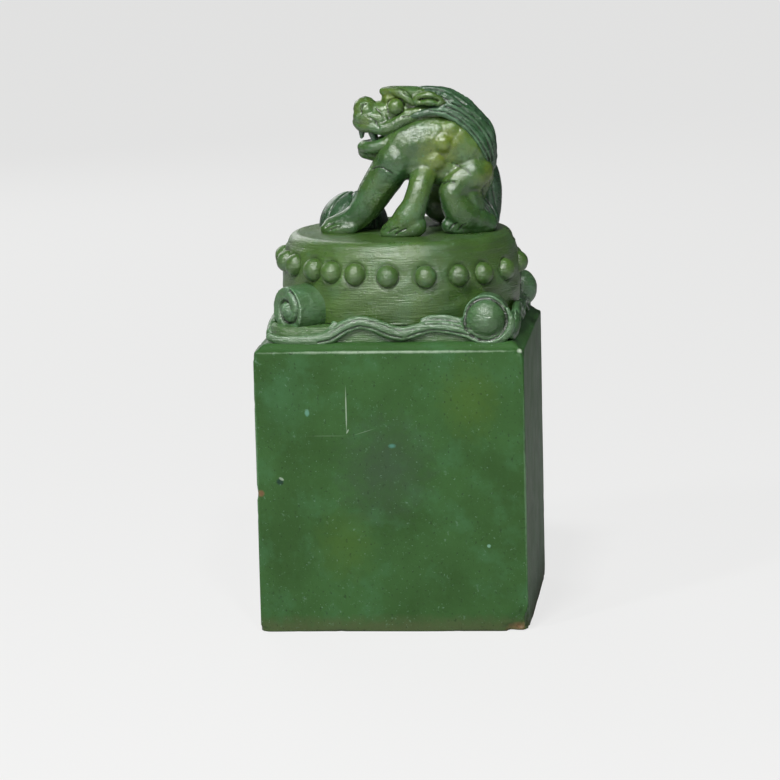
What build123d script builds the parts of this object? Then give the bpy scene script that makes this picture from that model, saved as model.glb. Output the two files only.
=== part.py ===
from build123d import *
import os

# Seal stamp carved from one block of green stone: a square seal block, a ribbon stand,
# a studded drum and a crouching lion. Millimetres, +Z up, -Y towards the viewer.
# The origin is the middle of the sealing face.

# Seal block
block_width = 45.0
block_depth = 45.0
block_foot_depth = 43.6
block_height = 47.5
block_edge_round = 0.6
face_plate_height = 1.6
shoulder_rise = 1.2

# Sealing face
face_border_inset = 2.6
face_groove_width = 1.1
face_groove_depth = 0.8
fret_pitch = 12.0
fret_size = 8.8
fret_rows = 3

# Ribbon stand
stand_width = 40.0
stand_corner_round = 3.5
plinth_height = 2.5
ribbon_height = 4.4
ribbon_thickness = 1.2
ribbon_reach = 6.0

# Ribbon scrolls
scroll_radius = 3.9
scroll_inner_radius = 4.2
scroll_length = 10.0
scroll_rim_width = 0.6
scroll_groove_depth = 0.7
scroll_ball_rise = 0.9
left_scroll_turn = 26.0

# Drum
drum_foot_radius = 19.7
drum_belly_radius = 20.4
drum_neck_radius = 19.3
drum_height = 13.8
drum_belly_height = 5.0
drum_head_thickness = 1.4
drum_lip_round = 1.1
stud_radius = 1.75
stud_height = 8.6
stud_seat_radius = 19.9
stud_seat_run = 1.0

# Lion
lion_length = 32.0
lion_depth = 22.0
lion_height = 25.0
torso_radius = 6.2
rump_radius = 3.7
foreleg_radius = 3.0
haunch_radius = 4.4
hind_leg_radius = 2.9
tail_radius = 2.1
head_radius = 3.6
nose_radius = 2.05
jaw_radius = 1.6
eye_radius = 1.45
nostril_radius = 1.0
brow_radius = 0.85
ear_radius = 1.4
fang_radius = 0.6
fang_length = 3.2
mane_radius = 4.4
lock_radius = 1.15
strand_radius = 0.8
ball_radius = 6.0
ball_groove_width = 0.7
ball_groove_depth = 0.35

quarter_turn = 90
full_turn = 360

shoulder_top = block_height + shoulder_rise
plinth_top = shoulder_top + plinth_height
drum_top = plinth_top + drum_height
drum_head_foot = drum_top - drum_head_thickness
stand_half = stand_width / 2
ribbon_front_face = stand_half + ribbon_thickness
scroll_middle = stand_half - scroll_radius
scroll_centre_height = shoulder_top + scroll_inner_radius


def foot_shift(height):
    """How far the leaning back face draws the middle of the block forward at a height."""
    lean = (block_depth - block_foot_depth) / 2
    return lean * (1 - height / block_height)


def block_outline(height):
    """The block's outline at a height, with softly rounded upright edges."""
    middle = foot_shift(height)
    with BuildSketch(Plane.XY.offset(height).shift_origin((0, -middle, height))) as outline:
        RectangleRounded(block_width, block_depth - 2 * middle, block_edge_round)
    return outline.sketch


# Seal block with its sloped shoulder
with BuildPart() as seal_block:
    add(block_outline(face_plate_height))
    add(block_outline(block_height))
    loft()
    with BuildSketch(Plane.XY.offset(block_height)):
        RectangleRounded(block_width, block_depth, block_edge_round)
    with BuildSketch(Plane.XY.offset(shoulder_top)):
        RectangleRounded(stand_width + ribbon_thickness, stand_width + ribbon_thickness, stand_corner_round)
    loft()

# Sealing face: a border groove round a plain key fret
fret_shares = (
    (-0.5, -0.5),
    (0.5, -0.5),
    (0.5, 0.5),
    (-0.5, 0.5),
    (-0.5, -0.17),
    (0.17, -0.17),
    (0.17, 0.17),
)

with BuildPart() as seal_face:
    add(block_outline(0))
    add(block_outline(face_plate_height))
    loft()
    face_middle = Plane.XY.shift_origin((0, -foot_shift(0), 0))
    with BuildSketch(face_middle):
        Rectangle(block_width - 2 * face_border_inset, block_foot_depth - 2 * face_border_inset)
        border_inner = 2 * (face_border_inset + face_groove_width)
        Rectangle(block_width - border_inner, block_foot_depth - border_inner, mode=Mode.SUBTRACT)
        with GridLocations(fret_pitch, fret_pitch, fret_rows, fret_rows):
            with BuildLine():
                Polyline([(across * fret_size, up * fret_size) for across, up in fret_shares])
            trace(line_width=face_groove_width)
    extrude(amount=face_groove_depth, mode=Mode.SUBTRACT)

# Foot of the ribbon stand
with BuildPart() as stand_plinth:
    with BuildSketch(Plane.XY.offset(shoulder_top)):
        RectangleRounded(stand_width, stand_width, stand_corner_round)
    extrude(amount=plinth_height)

# Hand-spaced studs, each placed by its share of a full turn
stud_turn_shares = (
    0.010,
    0.060,
    0.108,
    0.155,
    0.203,
    0.250,
    0.298,
    0.346,
    0.394,
    0.442,
    0.500,
    0.552,
    0.588,
    0.634,
    0.666,
    0.702,
    0.747,
    0.798,
    0.845,
    0.886,
    0.935,
)

# Drum: a bulging barrel with a flat seat for each stud, its head with a rounded lip, and the studs
bezier_round_share = 0.552

with BuildPart() as drum_barrel:
    with BuildSketch(Plane.XZ):
        with BuildLine():
            foot = (drum_foot_radius, plinth_top)
            belly = (drum_belly_radius, plinth_top + drum_belly_height)
            neck = (drum_neck_radius, drum_head_foot)
            ThreePointArc(foot, belly, neck)
            Polyline(neck, (0, drum_head_foot), (0, plinth_top), foot)
        make_face()
    revolve(axis=Axis.Z)
    with Locations((0, 0, plinth_top + stud_height)):
        for turn_share in stud_turn_shares:
            with PolarLocations(stud_seat_radius, 1, start_angle=full_turn * turn_share):
                Cylinder(
                    stud_radius,
                    stud_seat_run,
                    rotation=(0, quarter_turn, 0),
                    align=(Align.CENTER, Align.CENTER, Align.MIN),
                    mode=Mode.SUBTRACT,
                )

with BuildPart() as drum_head:
    with BuildSketch(Plane.XY.offset(drum_head_foot)):
        Circle(drum_neck_radius)
    extrude(amount=drum_head_thickness)
    fillet(drum_head.edges().group_by(Axis.Z)[-1], drum_lip_round)

# A round-headed stud with a flat back, its axis along X
with BuildPart() as stud_form:
    with BuildSketch(Plane.XY):
        with BuildLine():
            crown = (stud_radius, 0)
            rim = (0, stud_radius)
            stud_curve = Bezier(
                crown,
                (stud_radius, stud_radius * bezier_round_share),
                (stud_radius * bezier_round_share, stud_radius),
                rim,
            )
            Polyline(rim, (0, 0), crown)
        make_face()
    revolve(axis=Axis.X)

with BuildPart() as drum_studs:
    with Locations((0, 0, plinth_top + stud_height)):
        for turn_share in stud_turn_shares:
            with PolarLocations(stud_seat_radius, 1, start_angle=full_turn * turn_share):
                add(stud_form.part)

# Ribbon: one wave along the front of the stand, turned to the other three sides
ribbon_top_shares = (
    (-0.62, 0.42),
    (-0.47, 0.74),
    (-0.26, 1.00),
    (-0.05, 0.80),
    (0.11, 0.61),
    (0.27, 0.77),
    (0.50, 0.62),
    (0.82, 0.50),
)
ribbon_foot_shares = (
    (0.82, 0.06),
    (0.65, 0.25),
    (0.36, 0.47),
    (0.15, 0.08),
    (0.00, 0.12),
    (-0.24, 0.52),
    (-0.45, 0.09),
    (-0.62, 0.00),
)


def largest(piece):
    """The main solid of a cut piece, without the chips that cutting leaves."""
    with BuildPart() as kept:
        add(piece.part.solids().sort_by(SortBy.VOLUME)[-1])
    return kept


def along_ribbon(shares):
    """Points of the wave, from shares of half the stand's width and of the ribbon's height."""
    return [(across * stand_half, shoulder_top + up * ribbon_height) for across, up in shares]


with BuildPart() as ribbon_form:
    with BuildSketch(Plane.XZ.offset(ribbon_front_face)):
        with BuildLine():
            wave_top = Spline(along_ribbon(ribbon_top_shares))
            wave_foot = Spline(along_ribbon(ribbon_foot_shares))
            Line(wave_top @ 1, wave_foot @ 0)
            Line(wave_foot @ 1, wave_top @ 0)
        make_face()
    extrude(amount=-ribbon_reach)

# Scroll: a roll with a raised rim, a groove and a bulging ball on its outer end
with BuildPart() as scroll_form:
    scroll_plane = Plane((scroll_middle, 0, scroll_centre_height))
    with BuildSketch(scroll_plane):
        rim_inside = scroll_radius - scroll_rim_width
        ball_edge = rim_inside - scroll_groove_depth / 2
        outer_end = -ribbon_front_face
        groove_floor = outer_end + scroll_groove_depth
        inner_end = outer_end + scroll_length
        with BuildLine():
            ball_height = scroll_ball_rise + scroll_groove_depth
            dome = EllipticalCenterArc(
                (0, groove_floor), ball_edge, ball_height, start_angle=-quarter_turn, arc_size=quarter_turn
            )
            Polyline(
                dome @ 1,
                (rim_inside, groove_floor),
                (rim_inside, outer_end),
                (scroll_radius, outer_end),
                (scroll_inner_radius, inner_end),
                (0, inner_end),
                dome @ 0,
            )
        make_face()
    revolve(axis=Axis((scroll_middle, 0, scroll_centre_height), (0, 1, 0)))

# The left-hand roll opens out towards the front, the other three lie square to their sides
scroll_pivot = Axis((scroll_middle, outer_end + scroll_radius, 0), (0, 0, 1))
left_scroll_form = scroll_form.part.rotate(scroll_pivot, left_scroll_turn)

sides = ("front", "right", "back", "left")
scrolls = {}
for turn, side in enumerate(sides):
    roll = left_scroll_form if side == "left" else scroll_form.part
    with BuildPart() as scroll:
        add(roll, rotation=(0, 0, quarter_turn * turn))
        add(stand_plinth.part, mode=Mode.SUBTRACT)
        add(drum_barrel.part, mode=Mode.SUBTRACT)
    scrolls[side] = scroll

ribbons = {}
for turn, side in enumerate(sides):
    side_before = sides[turn - 1]
    with BuildPart() as ribbon:
        add(ribbon_form.part, rotation=(0, 0, quarter_turn * turn))
        add(seal_block.part, mode=Mode.SUBTRACT)
        add(stand_plinth.part, mode=Mode.SUBTRACT)
        add(drum_barrel.part, mode=Mode.SUBTRACT)
        add(scrolls[side].part, mode=Mode.SUBTRACT)
        add(scrolls[side_before].part, mode=Mode.SUBTRACT)
    ribbons[side] = largest(ribbon)

# Lion: every place is a share of its length, depth and height, every width of its own radius
round_cap_shares = ((0.5, 0.87), (0.87, 0.5))
neck_share = 0.97


def on_lion(x_share, y_share, z_share):
    """A place on the lion, measured from the middle of the drum's top."""
    return Vector(x_share * lion_length, y_share * lion_depth, drum_top + z_share * lion_height)


def round_section(middle, way, radius):
    """A round face across a limb."""
    with BuildSketch(Plane(middle, x_dir=(0, 1, 0), z_dir=way)) as section:
        Circle(radius)
    return section.sketch.face()


def limb(stations, radius):
    """A form lofted through round sections, closed by a round cap at each end."""
    places = [on_lion(x_share, y_share, z_share) for x_share, y_share, z_share, _ in stations]
    radii = [radius * width_share for _, _, _, width_share in stations]
    start_way = (places[0] - places[1]).normalized()
    end_way = (places[-1] - places[-2]).normalized()
    sections = [Vertex(places[0] + start_way * radii[0])]
    for out_share, width_share in reversed(round_cap_shares):
        middle = places[0] + start_way * radii[0] * out_share
        sections.append(round_section(middle, -start_way, radii[0] * width_share))
    for number, middle in enumerate(places):
        way = places[min(number + 1, len(places) - 1)] - places[max(number - 1, 0)]
        sections.append(round_section(middle, way, radii[number]))
    for out_share, width_share in round_cap_shares:
        middle = places[-1] + end_way * radii[-1] * out_share
        sections.append(round_section(middle, end_way, radii[-1] * width_share))
    sections.append(Vertex(places[-1] + end_way * radii[-1]))
    with BuildPart() as form:
        loft(sections=sections)
    return form.part


def muscle(stations, radius):
    """A swelling form of balls joined by tapering necks, a little slimmer than the balls."""
    places = [on_lion(x_share, y_share, z_share) for x_share, y_share, z_share, _ in stations]
    radii = [radius * width_share for _, _, _, width_share in stations]
    with BuildPart() as form:
        for middle, ball in zip(places, radii):
            with Locations(middle):
                Sphere(ball)
        for number in range(len(places) - 1):
            way = places[number + 1] - places[number]
            with Locations(Plane(places[number], z_dir=way)):
                Cone(
                    radii[number] * neck_share,
                    radii[number + 1] * neck_share,
                    way.length,
                    align=(Align.CENTER, Align.CENTER, Align.MIN),
                )
    return form.part


def beside_head(stations, side):
    """Stations with their depth measured from the head's middle, on one side of it."""
    return [(x, head_middle_share + side * y, z, width) for x, y, z, width in stations]


def beside_head_place(shares, side):
    """A place measured from the head's middle, on one side of it."""
    x_share, y_share, z_share = shares
    return on_lion(x_share, head_middle_share + side * y_share, z_share)


torso_stations_share = (
    (0.009, -0.218, 0.504, 0.63),
    (0.100, -0.191, 0.544, 0.87),
    (0.212, -0.145, 0.560, 1.00),
    (0.325, -0.118, 0.528, 0.97),
    (0.406, -0.100, 0.440, 0.74),
)
rump_stations_share = (
    (0.431, -0.073, 0.376, 1.00),
    (0.425, -0.055, 0.160, 0.89),
)
torso_form = limb(torso_stations_share, torso_radius)
rump_form = muscle(rump_stations_share, rump_radius)

with BuildPart() as lion_torso:
    add(torso_form)
    add(rump_form)
    add(drum_head.part, mode=Mode.SUBTRACT)

foreleg_right_stations_share = (
    (0.012, -0.268, 0.472, 1.13),
    (-0.100, -0.200, 0.288, 0.98),
    (-0.200, -0.141, 0.116, 0.77),
    (-0.331, -0.105, 0.044, 0.63),
)
foreleg_left_stations_share = (
    (0.159, -0.359, 0.448, 0.87),
    (0.141, -0.418, 0.280, 0.70),
    (0.088, -0.427, 0.136, 0.77),
    (-0.013, -0.409, 0.052, 0.57),
)
foreleg_right_form = limb(foreleg_right_stations_share, foreleg_radius)
foreleg_left_form = limb(foreleg_left_stations_share, foreleg_radius)

with BuildPart() as lion_foreleg_right:
    add(foreleg_right_form)
    add(lion_torso.part, mode=Mode.SUBTRACT)
    add(drum_head.part, mode=Mode.SUBTRACT)

with BuildPart() as lion_foreleg_left:
    add(foreleg_left_form)
    add(lion_torso.part, mode=Mode.SUBTRACT)
    add(lion_foreleg_right.part, mode=Mode.SUBTRACT)
    add(drum_head.part, mode=Mode.SUBTRACT)

# Hind legs: a haunch drawn out to the knee, and a shank folded back to the heel
haunch_left_stations_share = (
    (0.403, -0.177, 0.368, 0.91),
    (0.341, -0.277, 0.328, 0.70),
    (0.316, -0.318, 0.256, 0.57),
)
shank_left_stations_share = (
    (0.322, -0.314, 0.208, 0.86),
    (0.362, -0.264, 0.116, 0.90),
    (0.469, -0.168, 0.068, 0.62),
)
haunch_right_stations_share = (
    (0.344, 0.136, 0.408, 0.91),
    (0.250, 0.227, 0.328, 0.86),
    (0.175, 0.286, 0.240, 0.70),
)
shank_right_stations_share = (
    (0.169, 0.295, 0.196, 0.93),
    (0.216, 0.305, 0.108, 0.90),
    (0.344, 0.291, 0.064, 0.66),
)
haunch_left_form = muscle(haunch_left_stations_share, haunch_radius)
shank_left_form = muscle(shank_left_stations_share, hind_leg_radius)
haunch_right_form = muscle(haunch_right_stations_share, haunch_radius)
shank_right_form = muscle(shank_right_stations_share, hind_leg_radius)

with BuildPart() as lion_haunch_left:
    add(haunch_left_form)
    add(lion_torso.part, mode=Mode.SUBTRACT)
    add(lion_foreleg_left.part, mode=Mode.SUBTRACT)

with BuildPart() as lion_shank_left:
    add(shank_left_form)
    add(lion_haunch_left.part, mode=Mode.SUBTRACT)
    add(lion_torso.part, mode=Mode.SUBTRACT)
    add(drum_head.part, mode=Mode.SUBTRACT)
    add(lion_foreleg_left.part, mode=Mode.SUBTRACT)

with BuildPart() as lion_haunch_right:
    add(haunch_right_form)
    add(lion_torso.part, mode=Mode.SUBTRACT)

with BuildPart() as lion_shank_right:
    add(shank_right_form)
    add(lion_haunch_right.part, mode=Mode.SUBTRACT)
    add(lion_torso.part, mode=Mode.SUBTRACT)
    add(drum_head.part, mode=Mode.SUBTRACT)

tail_stations_share = (
    (0.456, 0.100, 0.408, 0.90),
    (0.491, 0.132, 0.280, 1.00),
    (0.484, 0.145, 0.152, 0.95),
    (0.425, 0.209, 0.048, 0.76),
)
tail_form = limb(tail_stations_share, tail_radius)

with BuildPart() as lion_tail:
    add(tail_form)
    add(lion_torso.part, mode=Mode.SUBTRACT)
    add(lion_haunch_left.part, mode=Mode.SUBTRACT)
    add(lion_shank_left.part, mode=Mode.SUBTRACT)
    add(lion_haunch_right.part, mode=Mode.SUBTRACT)
    add(lion_shank_right.part, mode=Mode.SUBTRACT)
    add(drum_head.part, mode=Mode.SUBTRACT)

# Head: neck, skull and muzzle in one loft, with a round nose above the lip
head_middle_share = -0.205
head_stations_share = (
    (0.225, 0.028, 0.756, 1.00),
    (0.141, 0.014, 0.836, 0.97),
    (0.050, 0.000, 0.856, 0.89),
    (-0.044, 0.000, 0.812, 0.72),
    (-0.125, 0.000, 0.784, 0.61),
)
nose_place_share = (-0.144, 0.000, 0.839)
head_form = limb(beside_head(head_stations_share, 1), head_radius)
nose_place = beside_head_place(nose_place_share, 1)

with BuildPart() as lion_head:
    add(head_form)
    with Locations(nose_place):
        Sphere(nose_radius)
    add(lion_torso.part, mode=Mode.SUBTRACT)

jaw_stations_share = (
    (0.045, 0.000, 0.665, 0.95),
    (-0.075, 0.000, 0.580, 1.00),
    (-0.150, 0.000, 0.565, 0.90),
)
jaw_form = limb(beside_head(jaw_stations_share, 1), jaw_radius)

with BuildPart() as lion_lower_jaw:
    add(jaw_form)
    add(lion_torso.part, mode=Mode.SUBTRACT)
    add(lion_head.part, mode=Mode.SUBTRACT)

both_sides = (-1, 1)
fang_place_share = (-0.095, 0.070, 0.735)
eye_place_share = (0.021, 0.116, 0.852)
nostril_place_share = (-0.140, 0.082, 0.842)
brow_stations_share = (
    (-0.034, 0.041, 0.956, 1.00),
    (0.068, 0.109, 0.940, 0.95),
    (0.116, 0.114, 0.896, 0.70),
)
ear_stations_share = (
    (0.125, 0.130, 0.860, 0.60),
    (0.175, 0.150, 0.900, 1.00),
    (0.240, 0.130, 0.895, 0.30),
)


with BuildPart() as lion_teeth:
    for side in both_sides:
        with Locations(beside_head_place(fang_place_share, side)):
            Cone(0, fang_radius, fang_length, align=(Align.CENTER, Align.CENTER, Align.MAX))
    add(lion_head.part, mode=Mode.SUBTRACT)
    add(lion_lower_jaw.part, mode=Mode.SUBTRACT)

with BuildPart() as lion_eyes:
    for side in both_sides:
        with Locations(beside_head_place(eye_place_share, side)):
            Sphere(eye_radius)
    add(lion_head.part, mode=Mode.SUBTRACT)

with BuildPart() as lion_nostrils:
    for side in both_sides:
        with Locations(beside_head_place(nostril_place_share, side)):
            Sphere(nostril_radius)
    add(lion_head.part, mode=Mode.SUBTRACT)

brow_forms = [muscle(beside_head(brow_stations_share, side), brow_radius) for side in both_sides]
ear_forms = [muscle(beside_head(ear_stations_share, side), ear_radius) for side in both_sides]

with BuildPart() as lion_brows:
    add(brow_forms)
    add(lion_head.part, mode=Mode.SUBTRACT)
    add(lion_eyes.part, mode=Mode.SUBTRACT)

with BuildPart() as lion_ears:
    add(ear_forms)
    add(lion_head.part, mode=Mode.SUBTRACT)
    add(lion_brows.part, mode=Mode.SUBTRACT)

# Mane: a thick cape of hair from the nape down the back, with locks and strands on it
mane_stations_share = (
    (0.172, -0.164, 0.840, 0.77),
    (0.266, -0.136, 0.796, 0.93),
    (0.350, -0.114, 0.696, 1.00),
    (0.412, -0.100, 0.592, 0.91),
    (0.447, -0.086, 0.496, 0.61),
)
mane_form = limb(mane_stations_share, mane_radius)

with BuildPart() as lion_mane:
    add(mane_form)
    add(lion_torso.part, mode=Mode.SUBTRACT)
    add(lion_head.part, mode=Mode.SUBTRACT)
    add(lion_ears.part, mode=Mode.SUBTRACT)
    add(lion_haunch_left.part, mode=Mode.SUBTRACT)
    add(lion_haunch_right.part, mode=Mode.SUBTRACT)

# Flame locks along the crest, and strands that sweep round each shoulder to the rump
lock_stations_share = (
    (
        (0.165, -0.214, 0.940, 0.80),
        (0.248, -0.218, 0.922, 1.00),
        (0.342, -0.218, 0.853, 0.90),
        (0.425, -0.200, 0.775, 0.30),
    ),
    (
        (0.170, -0.082, 0.935, 0.80),
        (0.248, -0.073, 0.915, 1.00),
        (0.342, -0.064, 0.846, 0.90),
        (0.420, -0.060, 0.765, 0.30),
    ),
)
strand_middle_share = -0.114
strand_stations_share = (
    (
        (0.214, 0.191, 0.842, 0.80),
        (0.388, 0.182, 0.745, 1.00),
        (0.466, 0.127, 0.640, 0.95),
        (0.506, 0.030, 0.470, 0.70),
    ),
    (
        (0.290, 0.175, 0.852, 0.75),
        (0.408, 0.145, 0.763, 1.00),
        (0.480, 0.086, 0.660, 0.95),
        (0.512, 0.005, 0.500, 0.70),
    ),
)


def beside_mane(stations, side):
    """Stations with their depth measured from the mane's middle, on one side of it."""
    return [(x, strand_middle_share + side * y, z, width) for x, y, z, width in stations]


lock_forms = [limb(stations, lock_radius) for stations in lock_stations_share]
strand_forms = [
    limb(beside_mane(stations, side), strand_radius)
    for stations in strand_stations_share
    for side in both_sides
]

with BuildPart() as lion_mane_locks:
    add(lock_forms)
    add(strand_forms)
    add(lion_mane.part, mode=Mode.SUBTRACT)
    add(lion_torso.part, mode=Mode.SUBTRACT)
    add(lion_head.part, mode=Mode.SUBTRACT)
    add(lion_ears.part, mode=Mode.SUBTRACT)
    add(lion_haunch_left.part, mode=Mode.SUBTRACT)
    add(lion_haunch_right.part, mode=Mode.SUBTRACT)

# Half-round ball behind the right forepaw, with crossing grooves
ball_place_share = (-0.256, 0.250, 0)
ball_place = on_lion(*ball_place_share)

with BuildPart() as brocade_ball:
    with Locations(ball_place):
        Sphere(ball_radius, arc_size1=0, align=(Align.CENTER, Align.CENTER, Align.MIN))
    for way in (Vector(1, 0, 0), Vector(0, 1, 0)):
        with BuildSketch(Plane(ball_place, z_dir=way)):
            Circle(ball_radius + ball_groove_width)
            Circle(ball_radius - ball_groove_depth, mode=Mode.SUBTRACT)
        extrude(amount=ball_groove_width / 2, both=True, mode=Mode.SUBTRACT)
    add(lion_foreleg_right.part, mode=Mode.SUBTRACT)
    add(lion_torso.part, mode=Mode.SUBTRACT)

# The object's nodes
nodes = {
    "seal_block": seal_block,
    "seal_face": seal_face,
    "stand_plinth": stand_plinth,
    "drum_barrel": drum_barrel,
    "drum_head": drum_head,
    "drum_studs": drum_studs,
    "ribbon_front": ribbons["front"],
    "ribbon_right": ribbons["right"],
    "ribbon_back": ribbons["back"],
    "ribbon_left": ribbons["left"],
    "scroll_front_right": scrolls["front"],
    "scroll_back_right": scrolls["right"],
    "scroll_back_left": scrolls["back"],
    "scroll_front_left": scrolls["left"],
    "lion_torso": lion_torso,
    "lion_foreleg_right": lion_foreleg_right,
    "lion_foreleg_left": lion_foreleg_left,
    "lion_haunch_left": lion_haunch_left,
    "lion_shank_left": lion_shank_left,
    "lion_haunch_right": lion_haunch_right,
    "lion_shank_right": lion_shank_right,
    "lion_tail": lion_tail,
    "lion_head": lion_head,
    "lion_lower_jaw": lion_lower_jaw,
    "lion_teeth": lion_teeth,
    "lion_eyes": lion_eyes,
    "lion_nostrils": lion_nostrils,
    "lion_brows": lion_brows,
    "lion_ears": lion_ears,
    "lion_mane": lion_mane,
    "lion_mane_locks": lion_mane_locks,
    "brocade_ball": brocade_ball,
}

os.makedirs("parts", exist_ok=True)
for name, piece in nodes.items():
    piece.part.label = name
    export_step(piece.part, f"parts/{name}.step")
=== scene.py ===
import math

import bmesh
import bpy
import numpy as np
from mathutils import Matrix, Vector


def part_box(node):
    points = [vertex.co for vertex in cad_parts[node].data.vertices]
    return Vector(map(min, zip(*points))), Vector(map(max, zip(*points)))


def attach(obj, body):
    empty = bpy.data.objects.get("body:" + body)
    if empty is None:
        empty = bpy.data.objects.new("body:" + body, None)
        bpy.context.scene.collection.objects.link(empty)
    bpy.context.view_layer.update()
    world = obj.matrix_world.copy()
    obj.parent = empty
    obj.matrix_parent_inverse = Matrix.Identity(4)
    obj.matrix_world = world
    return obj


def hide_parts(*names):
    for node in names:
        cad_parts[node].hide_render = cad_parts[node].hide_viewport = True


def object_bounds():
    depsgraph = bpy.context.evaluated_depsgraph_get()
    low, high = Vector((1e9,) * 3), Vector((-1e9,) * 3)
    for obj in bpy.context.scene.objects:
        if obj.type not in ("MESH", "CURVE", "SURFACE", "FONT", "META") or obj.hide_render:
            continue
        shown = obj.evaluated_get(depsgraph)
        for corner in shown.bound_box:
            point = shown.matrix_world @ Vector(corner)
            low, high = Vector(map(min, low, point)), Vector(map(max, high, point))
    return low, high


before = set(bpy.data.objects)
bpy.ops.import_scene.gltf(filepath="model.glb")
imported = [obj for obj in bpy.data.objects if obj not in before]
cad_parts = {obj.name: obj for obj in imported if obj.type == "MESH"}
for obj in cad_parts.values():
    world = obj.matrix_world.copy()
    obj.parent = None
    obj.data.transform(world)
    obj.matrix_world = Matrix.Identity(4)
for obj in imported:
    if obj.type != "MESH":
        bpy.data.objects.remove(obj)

cad_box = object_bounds()

# The looks of a carved green-stone seal stamp. Carving is worked out in millimetres in the
# part's own frame, and each finished piece is brought to metres once, in make_piece.
metre = 0.001

# Camera, matched to the photograph: turned, raised and rolled in degrees, the rest in millimetres and pixels
camera_azimuth = 5.979
camera_elevation = 9.543
camera_roll = -1.42
camera_distance = 684.739
camera_focal_pixels = 4000
camera_target = Vector((-2.122, 0, 37.195))
photo_size = 780
sensor_width = 36

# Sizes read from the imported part
face_low, face_high = (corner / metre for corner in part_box("seal_face"))
block_low, block_high = (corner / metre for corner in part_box("seal_block"))
plinth_low, plinth_high = (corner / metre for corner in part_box("stand_plinth"))
barrel_low, barrel_high = (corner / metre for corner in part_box("drum_barrel"))
drum_head_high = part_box("drum_head")[1] / metre
drum_top = drum_head_high.z
carving_top = cad_box[1][2] / metre

# Fineness of the carved meshes, coarser while trying things
coarse = 1
lion_grain = 0.17 * coarse
stand_grain = 0.2 * coarse
ear_grain = lion_grain * 0.7
tooth_grain = 0.1


def camera_axes():
    """The camera's place and its right, up and back directions, in millimetres."""
    turn = math.radians(camera_azimuth)
    rise = math.radians(camera_elevation)
    roll = math.radians(camera_roll)
    back = Vector((math.sin(turn) * math.cos(rise), -math.cos(turn) * math.cos(rise), math.sin(rise)))
    level_right = Vector((math.cos(turn), math.sin(turn), 0))
    level_up = back.cross(level_right)
    right = level_right * math.cos(roll) + level_up * math.sin(roll)
    up = level_up * math.cos(roll) - level_right * math.sin(roll)
    return camera_target + back * camera_distance, right, up, back


eye, view_right, view_up, view_back = camera_axes()


def spot(across, down, depth):
    """The place behind a photograph pixel, at a depth along Y in millimetres."""
    middle = photo_size / 2
    ray = (
        -view_back
        + view_right * ((across - middle) / camera_focal_pixels)
        + view_up * ((middle - down) / camera_focal_pixels)
    )
    return eye + ray * ((depth - eye.y) / ray.y)


def photo_places(points):
    """The photograph pixels of an array of places in millimetres."""
    offset = points - np.array(eye)
    away = -(offset @ np.array(view_back))
    across = photo_size / 2 + camera_focal_pixels * (offset @ np.array(view_right)) / away
    down = photo_size / 2 - camera_focal_pixels * (offset @ np.array(view_up)) / away
    return np.stack([across, down], 1)


def new_object(name, data):
    """An object that stands in the scene."""
    thing = bpy.data.objects.new(name, data)
    bpy.context.scene.collection.objects.link(thing)
    return thing


# Clay: balls and limbs that are later joined into one skin

def ball_form(fineness):
    """Corners and faces of a ball of radius one."""
    ball = bmesh.new()
    bmesh.ops.create_icosphere(ball, subdivisions=fineness, radius=1)
    ball.verts.ensure_lookup_table()
    corners = np.array([vertex.co for vertex in ball.verts])
    faces = np.array([[vertex.index for vertex in face.verts] for face in ball.faces])
    ball.free()
    return corners, faces


limb_ball = ball_form(2)
fine_ball = ball_form(5)


def add_ball(clay, middle, radius, stretch=(1, 1, 1), form=limb_ball):
    """A ball, stretched along the axes, added to the clay."""
    corners, faces = form
    clay.append((corners * (radius * np.array(stretch)) + np.array(middle), faces))


def add_cone(clay, low_radius, high_radius, height, place):
    """A closed cone frustum along its own Z, added to the clay."""
    around = 72
    angle = np.arange(around) * math.tau / around
    ring = np.stack([np.cos(angle), np.sin(angle), np.zeros(around)], 1)
    ends = ((0, 0, -height / 2), (0, 0, height / 2))
    corners = np.concatenate([ring * low_radius + ends[0], ring * high_radius + ends[1], ends])
    here = np.arange(around)
    beyond = (here + 1) % around
    faces = np.concatenate([
        np.stack([here, beyond, beyond + around], 1), np.stack([here, beyond + around, here + around], 1),
        np.stack([beyond, here, np.full(around, 2 * around)], 1),
        np.stack([here + around, beyond + around, np.full(around, 2 * around + 1)], 1),
    ])
    turn = np.array(place.to_3x3())
    clay.append((corners @ turn.T + np.array(place.translation), faces))


def clay_mesh(clay):
    """All the clay in one mesh, before it is joined."""
    corners, faces, count = [], [], 0
    for piece_corners, piece_faces in clay:
        corners.append(piece_corners)
        faces.append(piece_faces + count)
        count += len(piece_corners)
    mesh = bpy.data.meshes.new("clay")
    mesh.from_pydata(np.concatenate(corners).tolist(), [], np.concatenate(faces).tolist())
    mesh.update()
    return mesh


def along_curve(stations, step_share=0.3):
    """Places and radii along a smooth curve through (place, radius) stations."""
    places = [Vector(place) for place, _ in stations]
    radii = [radius for _, radius in stations]
    ends = [places[0] * 2 - places[1]] + places + [places[-1] * 2 - places[-2]]
    run = []
    for number in range(len(places) - 1):
        p0, p1, p2, p3 = ends[number:number + 4]
        r1, r2 = radii[number:number + 2]
        steps = max(2, math.ceil((p2 - p1).length / (step_share * min(r1, r2))))
        for step in range(steps):
            t = step / steps
            place = 0.5 * (
                2 * p1 + (p2 - p0) * t + (2 * p0 - 5 * p1 + 4 * p2 - p3) * t**2
                + (3 * p1 - 3 * p2 + p3 - p0) * t**3
            )
            run.append((place, r1 + (r2 - r1) * (3 * t**2 - 2 * t**3)))
    run.append((places[-1], radii[-1]))
    return run


def add_limb(clay, stations, stretch=(1, 1, 1)):
    """A limb of close-set balls along a smooth curve."""
    for place, radius in along_curve(stations):
        add_ball(clay, place, radius, stretch)


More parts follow.
